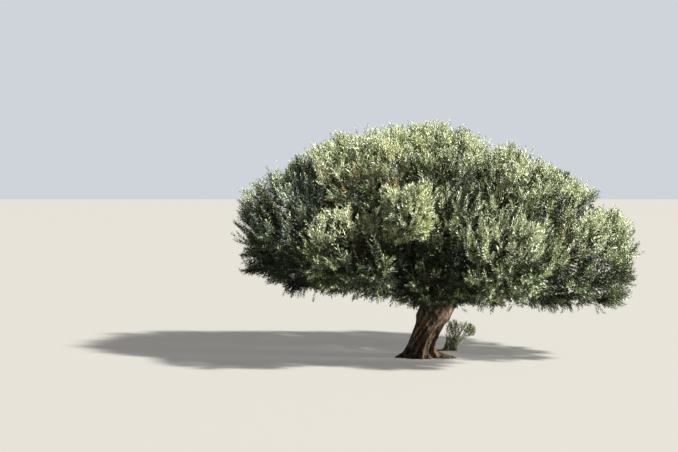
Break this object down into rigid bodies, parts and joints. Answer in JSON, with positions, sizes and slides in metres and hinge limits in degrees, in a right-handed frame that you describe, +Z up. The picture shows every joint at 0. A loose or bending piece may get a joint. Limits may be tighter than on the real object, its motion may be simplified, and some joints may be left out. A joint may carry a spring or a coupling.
{
  "type": "olive tree",
  "caption": "Old olive tree with a short, thick, leaning trunk on spread root buttresses, rising boughs, a broad domed crown of silvery foliage masses and suckers at its foot.",
  "frame": {"origin": "middle of the trunk's flat cut at ground level", "axes": "+Z up the tree, +X to the side that the trunk leans to, -Y to the front of the tree"},
  "size_m": [8.9034, 7.387, 5.2503],
  "materials": {
    "trunk_bark": "rough, deeply furrowed grey-brown bark",
    "bough_bark": "rough grey bark, smoother than the trunk's",
    "foliage": "narrow leaves, dull green above and silvery below"
  },
  "bodies": {
    "root": {"trunk": "trunk_bark", "bough_west": "bough_bark", "bough_west_front": "bough_bark", "bough_front": "bough_bark", "bough_top_west": "bough_bark", "bough_top": "bough_bark", "bough_top_east": "bough_bark", "bough_east_front": "bough_bark", "bough_east": "bough_bark", "bough_east_shoulder": "bough_bark", "bough_fork_front": "bough_bark", "bough_centre_front": "bough_bark", "bough_back_west": "bough_bark", "bough_back": "bough_bark", "bough_back_east": "bough_bark", "bough_top_back": "bough_bark", "foliage_west": "foliage", "foliage_west_front": "foliage", "foliage_front": "foliage", "foliage_top_west": "foliage", "foliage_top": "foliage", "foliage_top_east": "foliage", "foliage_east_front": "foliage", "foliage_east": "foliage", "foliage_east_shoulder": "foliage", "foliage_fork_front": "foliage", "foliage_centre_front": "foliage", "foliage_back_west": "foliage", "foliage_back": "foliage", "foliage_back_east": "foliage", "foliage_top_back": "foliage", "foliage_suckers": "foliage"}
  },
  "joints": []
}
